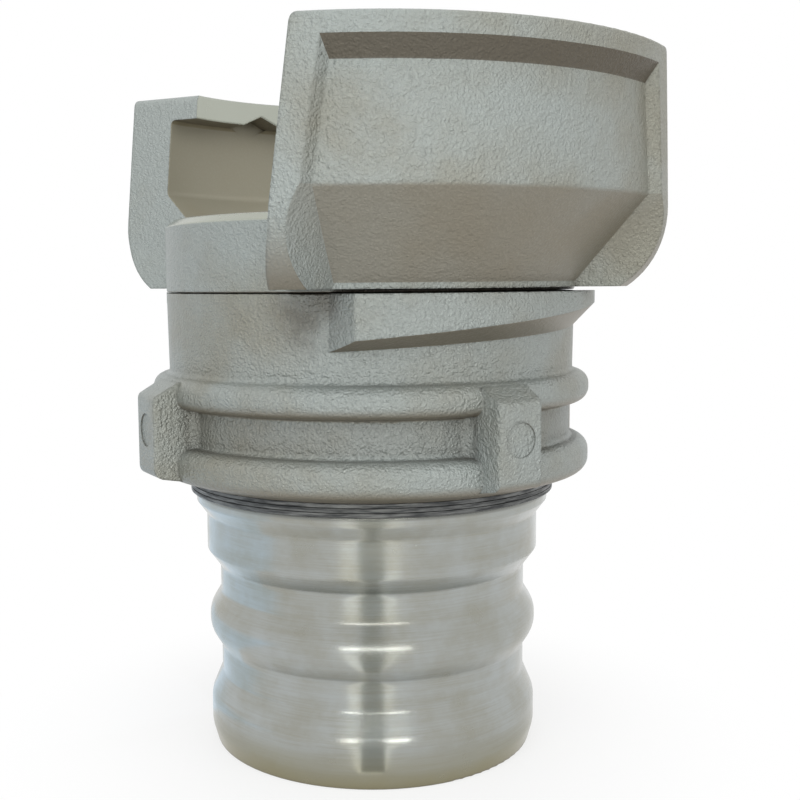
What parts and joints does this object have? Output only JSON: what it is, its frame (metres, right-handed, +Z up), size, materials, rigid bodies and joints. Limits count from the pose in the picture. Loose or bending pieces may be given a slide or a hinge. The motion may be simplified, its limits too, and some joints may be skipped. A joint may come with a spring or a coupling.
{
  "type": "quarter turn fire hose coupling",
  "caption": "Symmetrical quarter-turn hose half-coupling with hooked lugs, a cam locking ring held by a snap ring, a face seal and a ribbed hose tail",
  "frame": {"origin": "centre of the hose tail's open end, on the bore's axis", "axes": "+Z up along the bore out of the coupling face, +Y and -Y through the middles of the two lugs, +X to complete a right-handed frame"},
  "size_m": [0.1454, 0.179, 0.2024],
  "materials": {
    "coupling_body": "cast and blasted head, turned tail",
    "locking_ring": "cast and blasted",
    "retaining_ring": "dark spring steel",
    "face_seal": "matt"
  },
  "bodies": {
    "body": {"coupling_body": "coupling_body", "retaining_ring": "retaining_ring", "face_seal": "face_seal"},
    "ring": {"locking_ring": "locking_ring"}
  },
  "joints": [
    {"name": "ring_turn", "type": "hinge", "parent": "body", "child": "ring", "pos_m": [0, 0, 0.11015], "axis": [0, 0, 1], "continuous": true}
  ]
}
